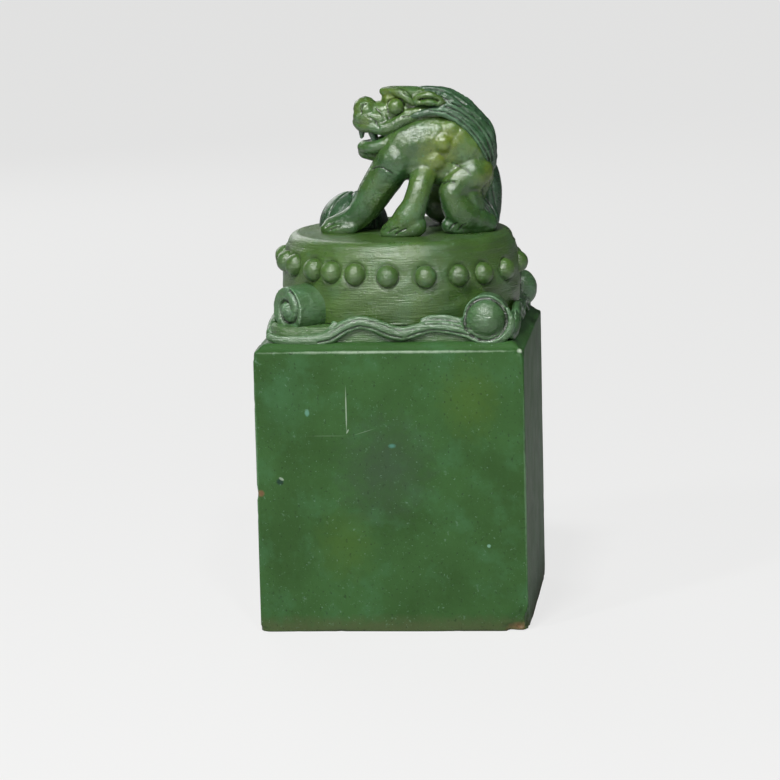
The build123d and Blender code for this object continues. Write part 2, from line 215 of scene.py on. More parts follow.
def photo_limbs(clay, *lines, stretch=(1, 1, 1)):
    """Limbs whose stations are (pixel across, pixel down, depth, radius)."""
    for stations in lines:
        add_limb(clay, [(spot(x, y, depth), radius) for x, y, depth, radius in stations], stretch)


def skin_of(clay, grain, polish):
    """A mesh with one closed skin round all the clay, evenly meshed and polished smooth."""
    mesh = clay_mesh(clay)
    lump = new_object("clay", mesh)
    remesh = lump.modifiers.new("skin", "REMESH")
    remesh.mode = "VOXEL"
    remesh.voxel_size = grain
    remesh.adaptivity = 0
    smooth = lump.modifiers.new("polish", "SMOOTH")
    smooth.factor = 0.5
    smooth.iterations = polish
    bpy.context.view_layer.update()
    evaluated = lump.evaluated_get(bpy.context.evaluated_depsgraph_get())
    skin = bpy.data.meshes.new_from_object(evaluated)
    bpy.data.objects.remove(lump)
    bpy.data.meshes.remove(mesh)
    return skin


def mesh_of(form):
    """The mesh of a finished bmesh."""
    bmesh.ops.recalc_face_normals(form, faces=form.faces)
    mesh = bpy.data.meshes.new("form")
    form.to_mesh(mesh)
    form.free()
    return mesh


def vertex_arrays(skin):
    """Places and normals of a skin's vertices."""
    places = np.empty(len(skin.vertices) * 3)
    normals = np.empty(len(skin.vertices) * 3)
    skin.vertices.foreach_get("co", places)
    skin.vertex_normals.foreach_get("vector", normals)
    return places.reshape(-1, 3), normals.reshape(-1, 3)


def set_places(skin, places):
    """Moves a skin's vertices to new places."""
    skin.vertices.foreach_set("co", places.ravel())
    skin.update()


def noise_at(places, size, seed=0):
    """Smooth noise, from -1 to 1, at each place, with lumps of the given size, or sizes, in mm."""
    grid = places / np.array(size) + seed * 17.3
    cell = np.floor(grid).astype(np.int64)
    share = grid - cell
    share = share * share * (3 - 2 * share)
    total = np.zeros(len(places))
    for corner in np.ndindex(2, 2, 2):
        x, y, z = (cell + corner).T
        mixed = (x * 73856093) ^ (y * 19349663) ^ (z * 83492791)
        mixed = (mixed ^ (mixed >> 13)) * 1274126177
        value = ((mixed ^ (mixed >> 16)) & 0xFFFF) / 32767.5 - 1
        weight = np.prod(np.where(corner, share, 1 - share), axis=1)
        total += value * weight
    return total


def bell(gap, width):
    """One in the middle of a groove, fading over a width to either side."""
    return np.exp(-((gap / width) ** 2))


def roughen(skin, *layers):
    """Raises and sinks a skin by layers of noise, each (height in mm, lump size in mm, seed)."""
    places, normals = vertex_arrays(skin)
    places += normals * sum(height * noise_at(places, size, seed) for height, size, seed in layers)[:, None]
    set_places(skin, places)


def keep_above(skin, floor):
    """Lifts whatever lies under a height up to it."""
    places, _ = vertex_arrays(skin)
    places[:, 2] = np.maximum(places[:, 2], floor)
    set_places(skin, places)


def keep_below(skin, top, ease=1):
    """Eases whatever rises above a height back under it."""
    places, _ = vertex_arrays(skin)
    knee = top - ease
    over = np.maximum(places[:, 2] - knee, 0)
    places[:, 2] = np.minimum(places[:, 2], knee) + ease * np.tanh(over / ease)
    set_places(skin, places)


def line_distance(points, line):
    """Distance of each point from a bent line."""
    line = np.array([tuple(place) for place in line], float)
    nearest = np.full(len(points), np.inf)
    for start, end in zip(line[:-1], line[1:]):
        way = end - start
        share = np.clip(((points - start) @ way) / (way @ way), 0, 1)
        gap = np.linalg.norm(points - start - share[:, None] * way, axis=1)
        nearest = np.minimum(nearest, gap)
    return nearest


def carve_photo(skin, cuts, limit=np.inf, mirrored=False):
    """Cuts grooves, or with a negative depth raises ridges, along lines drawn in photograph pixels.

    Each cut is (line, half width in pixels, depth in mm). It reaches back along Y to the limit,
    and when mirrored the side beyond the limit gets its reflection."""
    places, normals = vertex_arrays(skin)
    moved = places.copy()
    for side in (1, -1) if mirrored else (1,):
        seen, facing = places.copy(), normals.copy()
        if side < 0:
            seen[:, 1] = 2 * limit - seen[:, 1]
            facing[:, 1] = -facing[:, 1]
        near = (facing @ np.array(view_back) > 0.05) & (seen[:, 1] < limit)
        pixels = photo_places(seen)
        for line, half_width, depth in cuts:
            push = depth * bell(line_distance(pixels, line), half_width) * near
            moved -= normals * push[:, None]
    set_places(skin, moved)


def make_piece(name, mesh, material, nodes, smooth_angle=None):
    """A finished piece: brought to metres, shaded smooth, riding on the part."""
    mesh.transform(Matrix.Scale(metre, 4))
    mesh.polygons.foreach_set("use_smooth", np.ones(len(mesh.polygons), bool))
    mesh.name = name
    mesh.materials.append(material)
    piece = new_object(name, mesh)
    if smooth_angle is not None:
        mesh.set_sharp_from_angle(angle=math.radians(smooth_angle))
    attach(piece, "root")
    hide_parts(*nodes)


# Materials

front_depth = block_low.y
# pale of the scratches, and of the painted highlight along the block's top edge
scratch_and_highlight_pale = (0.4, 0.5, 0.38)
chip_brown = (0.17, 0.095, 0.045)
milk_white = (0.3, 0.46, 0.36)
milk_share = 0.45
speck_dark = (0.012, 0.022, 0.01)
hollow_dark = (0.02, 0.03, 0.016)

# Clouds in the stone: noise scale per metre, detail, roughness, where it begins, where it is full, how strong
dark_clouds = (85, 6, 0.6, 0.38, 0.64, 1)
pale_clouds = (190, 7, 0.65, 0.5, 0.68, 0.6)
milky_flecks = (620, 5, 0.7, 0.62, 0.74, 0.5)
dark_specks = (1900, 2, 0.5, 0.64, 0.74, 0.5)
milky_specks = (2600, 2, 0.5, 0.68, 0.76, 0.45)

# Pointiness where the darkening begins and is full in the hollows, and where paleness does on the edges
hollow_reach = (0.495, 0.455)
edge_reach = (0.52, 0.59)
edge_paleness = 0.45
gloss_spread = 0.2
glow_colours = (0.6, 1, 0.4)
glow_reach = 0.0009
stone_ior = 1.55
bump_strength = 0.8


def set_inputs(node, values):
    """Writes plain values into a node's inputs."""
    for name, value in values.items():
        node.inputs[name].default_value = value


def stone(
    name, body, pale, dark, gloss, marks=None, hollow_darkening=0, glow=0.3, grain_depth=0.00014, sheen=0.9, patches=(),
):
    """Polished green stone: clouded colour, milky flecks, darker hollows, fine scratches.

    marks is (scales along X, Y and Z, depth) of the tool marks. A patch is (middle and half sizes
    in mm, tilt in degrees, colour, strength, raggedness)."""
    material = bpy.data.materials.new(name)
    material.use_nodes = True
    tree = material.node_tree
    node = tree.nodes.new
    link = tree.links.new
    shader = tree.nodes["Principled BSDF"]
    place = node("ShaderNodeTexCoord")

    def noise(scale, detail, rough=0.55, source=None):
        cloud = node("ShaderNodeTexNoise")
        set_inputs(cloud, {"Scale": scale, "Detail": detail, "Roughness": rough})
        link(source or place.outputs["Object"], cloud.inputs["Vector"])
        return cloud.outputs["Fac"]

    def ramp(source, low, high):
        steps = node("ShaderNodeMapRange")
        set_inputs(steps, {"From Min": low, "From Max": high})
        link(source, steps.inputs["Value"])
        return steps.outputs["Result"]

    def fill(socket, value):
        """Links a value that comes from a node, and writes one that doesn't."""
        if isinstance(value, bpy.types.NodeSocket):
            link(value, socket)
        else:
            socket.default_value = (*value, 1) if isinstance(value, tuple) else value

    def combine(operation, first, second):
        result = node("ShaderNodeMath")
        result.operation = operation
        fill(result.inputs[0], first)
        fill(result.inputs[1], second)
        return result.outputs["Value"]

    def cover(below, amount, strength, colour):
        """A colour laid over what is below it, as strongly as the amount says."""
        mix = node("ShaderNodeMix")
        mix.data_type = "RGBA"
        link(combine("MULTIPLY", amount, strength), mix.inputs["Factor"])
        fill(mix.inputs["A"], below)
        fill(mix.inputs["B"], colour)
        return mix.outputs["Result"]

    def cloud_over(below, clouds, colour):
        scale, detail, rough, begins, full, strength = clouds
        return cover(below, ramp(noise(scale, detail, rough), begins, full), strength, colour)

    def patch_over(below, middle, size, tilt, colour, strength, ragged):
        """A colour laid over a soft-edged, ragged oval."""
        local = node("ShaderNodeMapping")
        local.vector_type = "TEXTURE"
        set_inputs(local, {
            "Location": [length * metre for length in middle], "Rotation": (0, math.radians(tilt), 0),
            "Scale": [length * metre for length in size],
        })
        link(place.outputs["Object"], local.inputs["Vector"])
        reach = node("ShaderNodeVectorMath")
        reach.operation = "LENGTH"
        link(local.outputs["Vector"], reach.inputs[0])
        edge = combine("ADD", reach.outputs["Value"], combine("MULTIPLY", noise(700, 4, 0.65), ragged))
        begins = 1 + ragged / 2
        return cover(below, ramp(edge, begins, begins - 0.25 - ragged / 2), strength, colour)

    colour = cloud_over(body, dark_clouds, dark)
    colour = cloud_over(colour, pale_clouds, pale)
    for patch in patches:
        colour = patch_over(colour, *patch)
    milk = tuple((1 - milk_share) * a + milk_share * b for a, b in zip(pale, milk_white))
    colour = cloud_over(colour, milky_flecks, milk)
    colour = cloud_over(colour, dark_specks, speck_dark)
    colour = cloud_over(colour, milky_specks, milk)
    # darker in the hollows and paler on the edges, by pointiness
    if hollow_darkening:
        hollows = node("ShaderNodeNewGeometry").outputs["Pointiness"]
        colour = cover(colour, ramp(hollows, *hollow_reach), hollow_darkening, hollow_dark)
        colour = cover(colour, ramp(hollows, *edge_reach), edge_paleness, pale)
    link(colour, shader.inputs["Base Color"])
    rough = node("ShaderNodeMapRange")
    set_inputs(rough, {"To Min": gloss, "To Max": gloss + gloss_spread})
    link(noise(240, 5), rough.inputs["Value"])
    link(rough.outputs["Result"], shader.inputs["Roughness"])
    set_inputs(shader, {
        "Subsurface Weight": glow, "Subsurface Radius": glow_colours, "Subsurface Scale": glow_reach,
        "IOR": stone_ior, "Specular IOR Level": sheen,
    })
    bump = node("ShaderNodeBump")
    set_inputs(bump, {"Strength": bump_strength, "Distance": grain_depth})
    height = noise(1500, 5, 0.7)
    if marks:
        *scales, depth = marks
        stretch = node("ShaderNodeMapping")
        set_inputs(stretch, {"Scale": scales})
        link(place.outputs["Object"], stretch.inputs["Vector"])
        lines = noise(1300, 3, 0.6, stretch.outputs["Vector"])
        height = combine("ADD", height, combine("MULTIPLY", lines, depth))
    link(height, bump.inputs["Height"])
    link(bump.outputs["Normal"], shader.inputs["Normal"])
    return material


def front_patches(*rows):
    """Patches on the block's front, whose rows begin with pixel across, pixel down and half sizes."""
    half_depth = 1.2
    return [
        (spot(across, down, front_depth), (half_width, half_depth, half_height), *rest)
        for across, down, half_width, half_height, *rest in rows
    ]


block_green = (0.038, 0.108, 0.027)
block_pale = (0.048, 0.138, 0.052)
block_dark = (0.028, 0.08, 0.017)
lion_green = (0.08, 0.15, 0.024)
lion_pale = (0.085, 0.205, 0.085)
lion_dark = (0.03, 0.088, 0.024)
# yellow of the stone, also carrying painted highlight on the flank bumps, brow and muzzle
lion_yellow_and_highlight = (0.15, 0.205, 0.018)
mane_green = (0.032, 0.09, 0.034)
mane_pale = (0.11, 0.235, 0.125)
mane_dark = (0.016, 0.052, 0.022)
drum_green = (0.074, 0.15, 0.026)
drum_pale = (0.08, 0.18, 0.075)
drum_dark = (0.046, 0.104, 0.018)
ribbon_green = (0.08, 0.165, 0.068)
worn_green = (0.16, 0.27, 0.16)
olive = (0.055, 0.115, 0.014)

block_marks = front_patches(
    # abrasion and clouds
    (385, 470, 9.5, 11, 20, (0.036, 0.066, 0.034), 0.75, 1.2), (470, 400, 6, 8, 0, olive, 0.6, 1),
    (345, 545, 6, 7, 0, olive, 0.5, 1), (285, 400, 5, 7, 0, block_pale, 0.5, 1),
) + [
    # a browner foot
    ((0, 0, 0), (90, 90, 3.2), 0, (0.07, 0.085, 0.034), 0.7, 0.7),
] + front_patches(
    # brown chips and the pit
    (519, 627, 2.6, 1.1, -12, chip_brown, 0.95, 0.5), (260.6, 493.5, 0.75, 0.7, 0, chip_brown, 0.9, 0.5),
    (280, 482, 0.7, 0.6, 20, (0.012, 0.04, 0.026), 0.9, 0.4), (281.5, 479, 0.5, 0.25, 30, scratch_and_highlight_pale, 0.6, 0.4),
    # scratches
    (346, 410, 0.13, 4.3, 0, scratch_and_highlight_pale, 0.6, 0.5), (347.5, 431.5, 0.14, 0.5, 25, scratch_and_highlight_pale, 0.6, 0.3),
    (328, 436, 3.7, 0.08, 0, scratch_and_highlight_pale, 0.16, 0.6), (364, 432, 2.4, 0.08, -17, scratch_and_highlight_pale, 0.2, 0.6),
    # milky flecks
    (307, 413, 0.45, 0.7, 0, (0.12, 0.29, 0.21), 0.8, 0.5), (392, 446, 0.7, 0.45, 0, (0.08, 0.24, 0.19), 0.7, 0.6),
    (489, 546, 0.4, 0.35, 0, (0.2, 0.38, 0.28), 0.8, 0.4),
) + [
    # along the top, a painted highlight line; worn edges at the top's right corner and the two upright ones in
    # front
    ((0, -22.4, 47.35), (22.6, 0.5, 0.34), 0, scratch_and_highlight_pale, 0.6, 1.1),
    ((21.9, -22, 47.3), (0.7, 0.7, 0.5), 0, (0.5, 0.58, 0.46), 0.7, 0.7),
    ((-22.4, -22.4, 30), (0.3, 0.3, 17), 0, worn_green, 0.6, 0.9),
    ((22.4, -22.4, 24), (0.3, 0.3, 22), 0, worn_green, 0.6, 0.9),
]

# Clouds in the lion: pixel across and down, depth, size, colour and strength. The yellow ones are the
# stone's own yellow, with painted highlight on the flank bumps, brow and muzzle; the darker ones under
# the chest and in the gap between the forelegs are painted shade.
lion_clouds_and_painted_light = (
    (440, 156, -9, 4.2, lion_yellow_and_highlight, 0.85), (450, 134, -8, 3.4, lion_yellow_and_highlight, 0.8),
    (486, 176, -5, 3.6, lion_yellow_and_highlight, 0.9), (466, 138, -6, 4.2, lion_yellow_and_highlight, 0.35),
    (363, 107, -5, 2, lion_yellow_and_highlight, 0.7), (366, 121, -6, 1.6, lion_yellow_and_highlight, 0.75),
    (392, 96, -6, 2.2, lion_yellow_and_highlight, 0.6), (437, 106, -7, 1.5, lion_yellow_and_highlight, 0.8),
    (404, 175, -6, 3, lion_dark, 0.6), (395, 208, -6, 2.6, mane_green, 0.6),
    (466, 206, -8, 3.4, olive, 0.6), (420, 210, -10, 3.2, mane_pale, 0.35),
    (345, 225, -3, 3.6, mane_green, 0.5), (465, 222, -6, 3, mane_dark, 0.4),
)
cloud_raggedness = 1.2
lion_patches_and_painted_light = [
    (spot(across, down, depth), (size, size, size), 0, colour, strength, cloud_raggedness)
    for across, down, depth, size, colour, strength in lion_clouds_and_painted_light
]

# Tool marks: how close they lie along X, Y and Z, and how deep they are beside the grain
drum_hatching = (0.3, 0.3, 3, 1.5)
ribbon_hatching = (0.5, 0.5, 2.4, 1.8)
lion_scraping = (0.8, 0.8, 1.8, 0.9)
mane_combing = (1.5, 0.8, 0.8, 0.7)

block_stone = stone(
    "block_stone", block_green, block_pale, block_dark, 0.34,
    glow=0.15, grain_depth=0.00004, sheen=0.2, patches=block_marks,
)
drum_stone = stone("drum_stone", drum_green, drum_pale, drum_dark, 0.2, drum_hatching, 0.8)
lion_stone = stone("lion_stone", lion_green, lion_pale, lion_dark, 0.16, lion_scraping, 0.85, patches=lion_patches_and_painted_light)
mane_stone = stone("mane_stone", mane_green, mane_pale, mane_dark, 0.18, mane_combing, 0.9)
ribbon_stone = stone("ribbon_stone", ribbon_green, mane_pale, block_green, 0.2, ribbon_hatching, 0.9)


# Seal block: square, leaning at the back, with worn edges, a sloped shoulder and knocked corners

shoulder_foot = 47.5
shoulder_half = 20.6
face_recess_inset = 2.6
face_recess_depth = 1
face_clearance = 0.15

# Cutting places near each edge, and the step between them
edge_slices = (0.08, 0.18, 0.3, 0.45, 0.65, 0.9, 1.2, 1.6, 2.1, 2.8)
middle_slice = 0.9

# How far edges are rounded: on the whole, in long waves, in small nicks, at least and at most
edge_wear = 0.32
wave_wear = 0.28
nick_wear = 0.55
nick_start = 0.35
least_wear = 0.16
most_wear = 0.95

# Chips: place, reach and depth
block_chips = (
    ((22.5, -22.5, 1.4), 3.4, 0.95), ((20.3, -22.5, 0.2), 1.7, 0.5), ((22.3, -22.4, 47.2), 1.3, 0.45),
    ((-22.5, -22.5, 0.3), 1, 0.4), ((-22.5, -22.4, 46.9), 1, 0.35), ((-22.5, -22.3, 23.8), 0.9, 0.3),
    ((22.4, -22.4, 31), 0.9, 0.25), ((22.4, 20.8, 0.5), 1.4, 0.5),
)
chip_stretch = (1, 1, 0.8)
chip_pull = 6
chip_roughness = 0.35
chip_lumps = 0.6
along_axes = (Vector((1, 0, 0)), Vector((0, 1, 0)), Vector((0, 0, 1)))


def sliced(low, high):
    """Cutting places across a length, close together near both ends."""
    middle = np.arange(low + 4 * middle_slice, high - 3.5, middle_slice)
    return [low + gap for gap in edge_slices] + list(middle) + [high - gap for gap in edge_slices]


def cut_across(form, place, way, **options):
    """Cuts a form by a plane."""
    bmesh.ops.bisect_plane(
        form, geom=form.verts[:] + form.edges[:] + form.faces[:], plane_co=place, plane_no=way, **options,
    )


def worn_edges(places, middle, half):
    """The places of a cube's skin with its edges rounded off unevenly."""
    nicks = noise_at(places, 1.1) + 0.6 * noise_at(places, 0.45, 3)
    wear = edge_wear + wave_wear * noise_at(places, 5, 7) + nick_wear * np.clip(nicks - nick_start, 0, 1)
    radius = np.clip(wear, least_wear, most_wear)[:, None]
    inner = np.clip(places - middle, radius - half, half - radius)
    out = (places - middle) - inner
    length = np.linalg.norm(out, axis=1, keepdims=True)
    return inner + out / length * np.minimum(length, radius) + middle


def chip(places, middle, chip_place, reach, depth):
    """Bites a chip out of the block, towards its middle."""
    gap = np.linalg.norm((places - np.array(chip_place)) / chip_stretch, axis=1)
    near = gap < reach * 1.5
    inward = middle - places[near]
    inward[:, 2] = np.clip(inward[:, 2], -chip_pull, chip_pull)
    inward /= np.linalg.norm(inward, axis=1, keepdims=True)
    rough = chip_roughness * noise_at(places[near], chip_lumps, reach)
    places[near] += inward * (depth * np.clip(1.25 - gap[near] / reach + rough, 0, 1))[:, None]


def build_block():
    low = Vector((block_low.x, block_low.y, 0))
    high = Vector((block_high.x, block_high.y, shoulder_foot))
    size = high - low
    block = bmesh.new()
    bmesh.ops.create_cube(block, size=1, matrix=Matrix.Translation((low + high) / 2) @ Matrix.Diagonal((*size, 1)))
    for way in along_axes:
        for place in sliced(low.dot(way), high.dot(way)):
            cut_across(block, way * place, way)
    mesh = mesh_of(block)
    places, _ = vertex_arrays(mesh)
    middle = np.array((low + high) / 2)
    half = np.array(size / 2)
    places = worn_edges(places, middle, half)
    for chip_form in block_chips:
        chip(places, middle, *chip_form)
    top = places[:, 2] > shoulder_foot - 0.5
    flat = np.minimum(half[0] - np.abs(places[:, 0]), half[1] - np.abs(places[:, 1]))
    slope = np.clip((flat - 0.15) / (half[0] - shoulder_half), 0, 1)
    lift = (block_high.z - shoulder_foot) * slope * slope * (3 - 2 * slope)
    places[:, 2] += np.where(top, lift, 0)
    bottom = (places[:, 2] < 0.2) & (flat > face_recess_inset)
    places[bottom, 2] += face_recess_depth
    lean = (block_high.y - face_high.y) * (1 - np.clip(places[:, 2], 0, shoulder_foot) / shoulder_foot)
    places[:, 1] -= lean * np.clip((places[:, 1] + half[1]) / size.y, 0, 1)
    set_places(mesh, places)
    make_piece("seal_block_stone", mesh, block_stone, ("seal_block",), smooth_angle=50)


def build_face():
    """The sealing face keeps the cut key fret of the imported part, inside the border."""
    face = bmesh.new()
    face.from_mesh(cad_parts["seal_face"].data)
    bmesh.ops.remove_doubles(face, verts=face.verts, dist=1e-7)
    bmesh.ops.transform(face, matrix=Matrix.Scale(1 / metre, 4), verts=face.verts)
    inset = face_recess_inset + face_clearance
    for way in along_axes[:2]:
        cut_across(face, way * (face_high.dot(way) - inset), way, clear_outer=True)
        cut_across(face, way * (face_low.dot(way) + inset), -way, clear_outer=True)
    make_piece("seal_face_stone", mesh_of(face), block_stone, ("seal_face",), smooth_angle=30)


# Drum: one turned form from foot to lip, with a hollow worn round each stud

stud_turn_shares = (
    0.01, 0.06, 0.108, 0.155, 0.203, 0.25, 0.298, 0.346, 0.394, 0.442, 0.5,
    0.552, 0.588, 0.634, 0.666, 0.702, 0.747, 0.798, 0.845, 0.886, 0.935,
)
stud_height = 59.8
stud_tilt = 0.8
stud_nod = 0.2
stud_seat = 19.75
stud_radius = 1.86
stud_ball = ball_form(4)
drum_shift = 0.35
lip_radius = 1.9
foot_narrowing = 0.7

# Height of the widest place, and how far above and below it the belly's curve reaches
belly_level = 56.6
belly_rise = 7.6
belly_fall = 5.6
lip_steps = 12
belly_steps = 49
turning_steps = 420

# The side's waves: height, how many go round and how far they turn per mm of height
side_waves = ((0.08, 5, 0.9), (0.06, 11, -1.7))
top_sink = 0.08
side_sink = 0.14

# The groove round a stud: its depth, its width and how far out it lies
stud_groove_depth = 0.22
stud_groove_width = 0.28
stud_groove_gap = 0.05


def stud_places():
    for share in stud_turn_shares:
        angle = share * math.tau
        raised = stud_height - stud_tilt * math.cos(angle) + stud_nod * math.sin(angle)
        yield Vector((stud_seat * math.cos(angle) + drum_shift, stud_seat * math.sin(angle), raised))


def drum_profile():
    """Radius and height of the drum's outline, from the middle of its top down to its foot."""
    belly_radius = barrel_high.x
    foot_radius = belly_radius - foot_narrowing
    top_radius = drum_head_high.x
    flat_radius = top_radius - lip_radius
    lip_middle = drum_top - lip_radius
    profile = [(0.01, drum_top), (9, drum_top), (flat_radius - 1, drum_top - 0.02)]
    for step in range(lip_steps):
        angle = math.radians(90 - step * 90 / lip_steps)
        profile.append((flat_radius + lip_radius * math.cos(angle), lip_middle + lip_radius * math.sin(angle)))
    for step in range(1, belly_steps + 1):
        share = step / belly_steps
        level = lip_middle * (1 - share) + barrel_low.z * share
        if level > belly_level:
            inner, reach = top_radius, belly_rise
        else:
            inner, reach = foot_radius, belly_fall
        swell = max(0, 1 - ((level - belly_level) / reach) ** 2)
        profile.append((inner + (belly_radius - inner) * swell, level))
    return profile


def build_drum():
    drum = bmesh.new()
    points = [drum.verts.new((radius, 0, level)) for radius, level in drum_profile()]
    edges = [drum.edges.new(pair) for pair in zip(points[:-1], points[1:])]
    bmesh.ops.spin(
        drum, geom=points + edges, cent=(0, 0, 0), axis=(0, 0, 1), dvec=(0, 0, 0),
        angle=math.tau, steps=turning_steps, use_merge=True, use_duplicate=False,
    )
    bmesh.ops.remove_doubles(drum, verts=drum.verts, dist=0.02)
    bmesh.ops.holes_fill(drum, edges=[edge for edge in drum.edges if edge.is_boundary], sides=0)
    mesh = mesh_of(drum)
    places, normals = vertex_arrays(mesh)
    places[:, 0] += drum_shift
    groove_radius = stud_radius + stud_groove_gap
    for stud in stud_places():
        gap = np.linalg.norm(places - np.array(stud), axis=1) - groove_radius
        places -= normals * (stud_groove_depth * bell(gap, stud_groove_width))[:, None]
    angle = np.arctan2(places[:, 1], places[:, 0])
    wave = sum(height * np.sin(count * angle + turn * places[:, 2]) for height, count, turn in side_waves)
    on_side = np.clip(1 - normals[:, 2], 0, 1)
    places -= normals * (top_sink + (side_sink + wave) * on_side)[:, None]
    set_places(mesh, places)
    make_piece("drum_stone_body", mesh, drum_stone, ("drum_barrel", "drum_head"))


def build_studs():
    studs = []
    for stud in stud_places():
        add_ball(studs, stud, stud_radius, form=stud_ball)
    mesh = clay_mesh(studs)
    roughen(mesh, (0.06, 1, 1), (0.03, 0.35, 2))
    make_piece("drum_studs_stone", mesh, drum_stone, ("drum_studs",))


# Ribbon stand: a rounded square foot, and on each side a waving ribbon that ends in a scroll

ribbon_depth = -20.3
ribbon_line = (
    (270, 337, 0.75), (282, 340.5, 0.85), (306, 341, 1), (318, 340, 1.15), (331, 336, 1.3), (345, 327, 1.25),
    (359, 322.5, 1.22), (373, 325, 1.25), (386, 330.5, 1.35), (401, 334, 1.3), (414, 331, 1.2), (431, 327, 1),
    (446, 327.5, 1.05), (465, 331, 1.2), (480, 337, 1.25), (494, 339.5, 1.15), (506, 334, 0.95),
    (511, 322, 0.75), (507, 310, 0.55),
)
fold_line = ((422, 320, 0.4), (432, 317.5, 0.5), (446, 317.5, 0.5), (458, 320, 0.5), (466, 323, 0.4))
wedge_line = ((326, 340, 0.9), (331, 331, 0.8), (334, 323, 0.45))
ribbon_cuts = (
    (((318, 343), (331, 340), (345, 331.5), (359, 326.5), (373, 329), (386, 334.5), (401, 338)), 0.9, 0.32),
    (((331, 332), (345, 323.5), (359, 319.5), (372, 321.5), (386, 326.5), (401, 330.5), (414, 329)), 0.8, 0.22),
    (((408, 337), (418, 333.5), (431, 330.5), (446, 331), (465, 335), (480, 340)), 0.9, 0.3),
    (((425, 324), (440, 323), (455, 325), (470, 329)), 0.8, 0.3),
)
rolled_line = ribbon_line[:15]

# Front right scroll: a ball in a cup
scroll_ball = spot(486, 318, -18.9)
scroll_ball_radius = 3.45
cup_length = 6.5
cup_offset = Vector((0, 2.4, 0.2))
ball_groove_depth = 0.4
ball_groove_width = 0.22
ball_groove_gap = 0.05
ball_front = -18.2

# Front left scroll: a roll with a spiral on its outer end
roll_turn = -47
spiral_middle = Vector((-17.3, -17.1, 53.7))
roll_radius = 3.85
roll_length = 10.5
roll_flare = 1.12
spiral_shift = (-0.25, 0.1)
spiral_start = 1.1
spiral_end = 3.3
spiral_rise = 0.33
spiral_depth = 0.75
spiral_width = 0.33
spiral_eye = 1.5
ribbon_sink = 0.3
hatch_size = (0.3 / 0.35, 0.3, 0.3)


def build_ball_scroll(clay):
    """A ball bulging from the ribbon's cupped end."""
    add_ball(clay, scroll_ball, scroll_ball_radius, form=fine_ball)
    place = Matrix.Translation(scroll_ball + cup_offset) @ Matrix.Rotation(math.radians(90), 4, "X")
    add_cone(clay, scroll_ball_radius - 0.1, scroll_ball_radius + 0.35, cup_length, place)


def carve_ball_ring(skin):
    """The groove round the bulging ball, drawn from the front."""
    places, normals = vertex_arrays(skin)
    from_middle = np.hypot(places[:, 0] - scroll_ball.x, places[:, 2] - scroll_ball.z)
    ring = from_middle - scroll_ball_radius - ball_groove_gap
    front = (places[:, 1] < ball_front) & (normals[:, 1] < 0.3)
    places -= normals * (ball_groove_depth * bell(ring, ball_groove_width) * front)[:, None]
    set_places(skin, places)


def carve_spiral(skin, way):
    """The spiral on the end of the roll: a ball and a curl round it."""
    places, _ = vertex_arrays(skin)
    out = np.array(way)
    side = np.cross((0, 0, 1), out)
    offset = places - np.array(spiral_middle)
    along = offset @ out
    across = offset @ side
    up = offset[:, 2]
    near = (along > -0.9) & (np.hypot(across, up) < roll_radius + 0.2)
    radius = np.hypot(across - spiral_shift[0], up - spiral_shift[1])
    angle = np.mod(np.arctan2(up, across), math.tau)
    groove = np.full(len(places), np.inf)
    for lap in range(3):
        line = 1.15 + spiral_rise * (angle + lap * math.tau - 1.2)
        live = (line < spiral_end) & (line > spiral_start)
        groove = np.where(live, np.minimum(groove, np.abs(radius - line)), groove)
    sunk = spiral_depth * bell(groove, spiral_width)
    dome = spiral_depth * np.clip(1 - (radius / spiral_eye) ** 2, 0, 1)
    places += out * ((dome - sunk) * near)[:, None]
    set_places(skin, places)


def build_roll():
    """The front left scroll: a roll that opens towards the corner, its spiral end facing out."""
    turn = math.radians(roll_turn)
    way = Vector((math.sin(turn), -math.cos(turn), 0))
    facing = way.to_track_quat("Z", "Y").to_matrix().to_4x4()
    clay = []
    middle = spiral_middle - way * roll_length / 2
    add_cone(clay, roll_radius * roll_flare, roll_radius, roll_length, Matrix.Translation(middle) @ facing)
    skin = skin_of(clay, stand_grain, polish=3)
    carve_spiral(skin, way)
    roughen(skin, (0.05, 0.5, 2), (0.06, 1.5, 4))
    make_piece("scroll_left_stone", skin, ribbon_stone, ("scroll_front_left",))


def build_side(side, quarter, scroll):
    """One side of the stand: its ribbon, and the scroll at its right-hand end, unless that is a roll."""
    clay = []
    main = ribbon_line if scroll else rolled_line
    for stations, depth, flat in (
        (main, ribbon_depth, 0.72), (fold_line, ribbon_depth + 0.5, 0.8), (wedge_line, ribbon_depth, 0.6),
    ):
        add_limb(clay, [(spot(x, y, depth), radius) for x, y, radius in stations], (1, flat, 1))
    if scroll:
        build_ball_scroll(clay)
    skin = skin_of(clay, stand_grain, polish=2)
    carve_photo(skin, ribbon_cuts)
    if scroll:
        carve_ball_ring(skin)
    roughen(skin, (0.035, hatch_size, quarter), (0.05, 1.2, quarter + 5))
    keep_above(skin, block_high.z - ribbon_sink)
    skin.transform(Matrix.Rotation(quarter * math.pi / 2, 4, "Z"))
    nodes = (f"ribbon_{side}", f"scroll_{scroll}") if scroll else (f"ribbon_{side}",)
    make_piece(f"ribbon_{side}_stone", skin, ribbon_stone, nodes)


plinth_corner = 3.5


def build_plinth():
    half = (plinth_high.x - plinth_low.x) / 2
    height = plinth_high.z - plinth_low.z
    plinth = bmesh.new()
    bmesh.ops.create_cube(plinth, size=1, matrix=Matrix.Diagonal((2 * half, 2 * half, height, 1)))
    bmesh.ops.translate(plinth, verts=plinth.verts, vec=(0, 0, plinth_low.z + height / 2))
    upright = [edge for edge in plinth.edges if abs((edge.verts[0].co - edge.verts[1].co).z) > height / 2]
    bmesh.ops.bevel(
        plinth, geom=upright, offset=plinth_corner, offset_type="OFFSET", segments=10, profile=0.5,
        affect="EDGES", material=-1,
    )
    make_piece("stand_plinth_stone", mesh_of(plinth), drum_stone, ("stand_plinth",), smooth_angle=40)


# Lion: body and legs in one skin, the tail in another

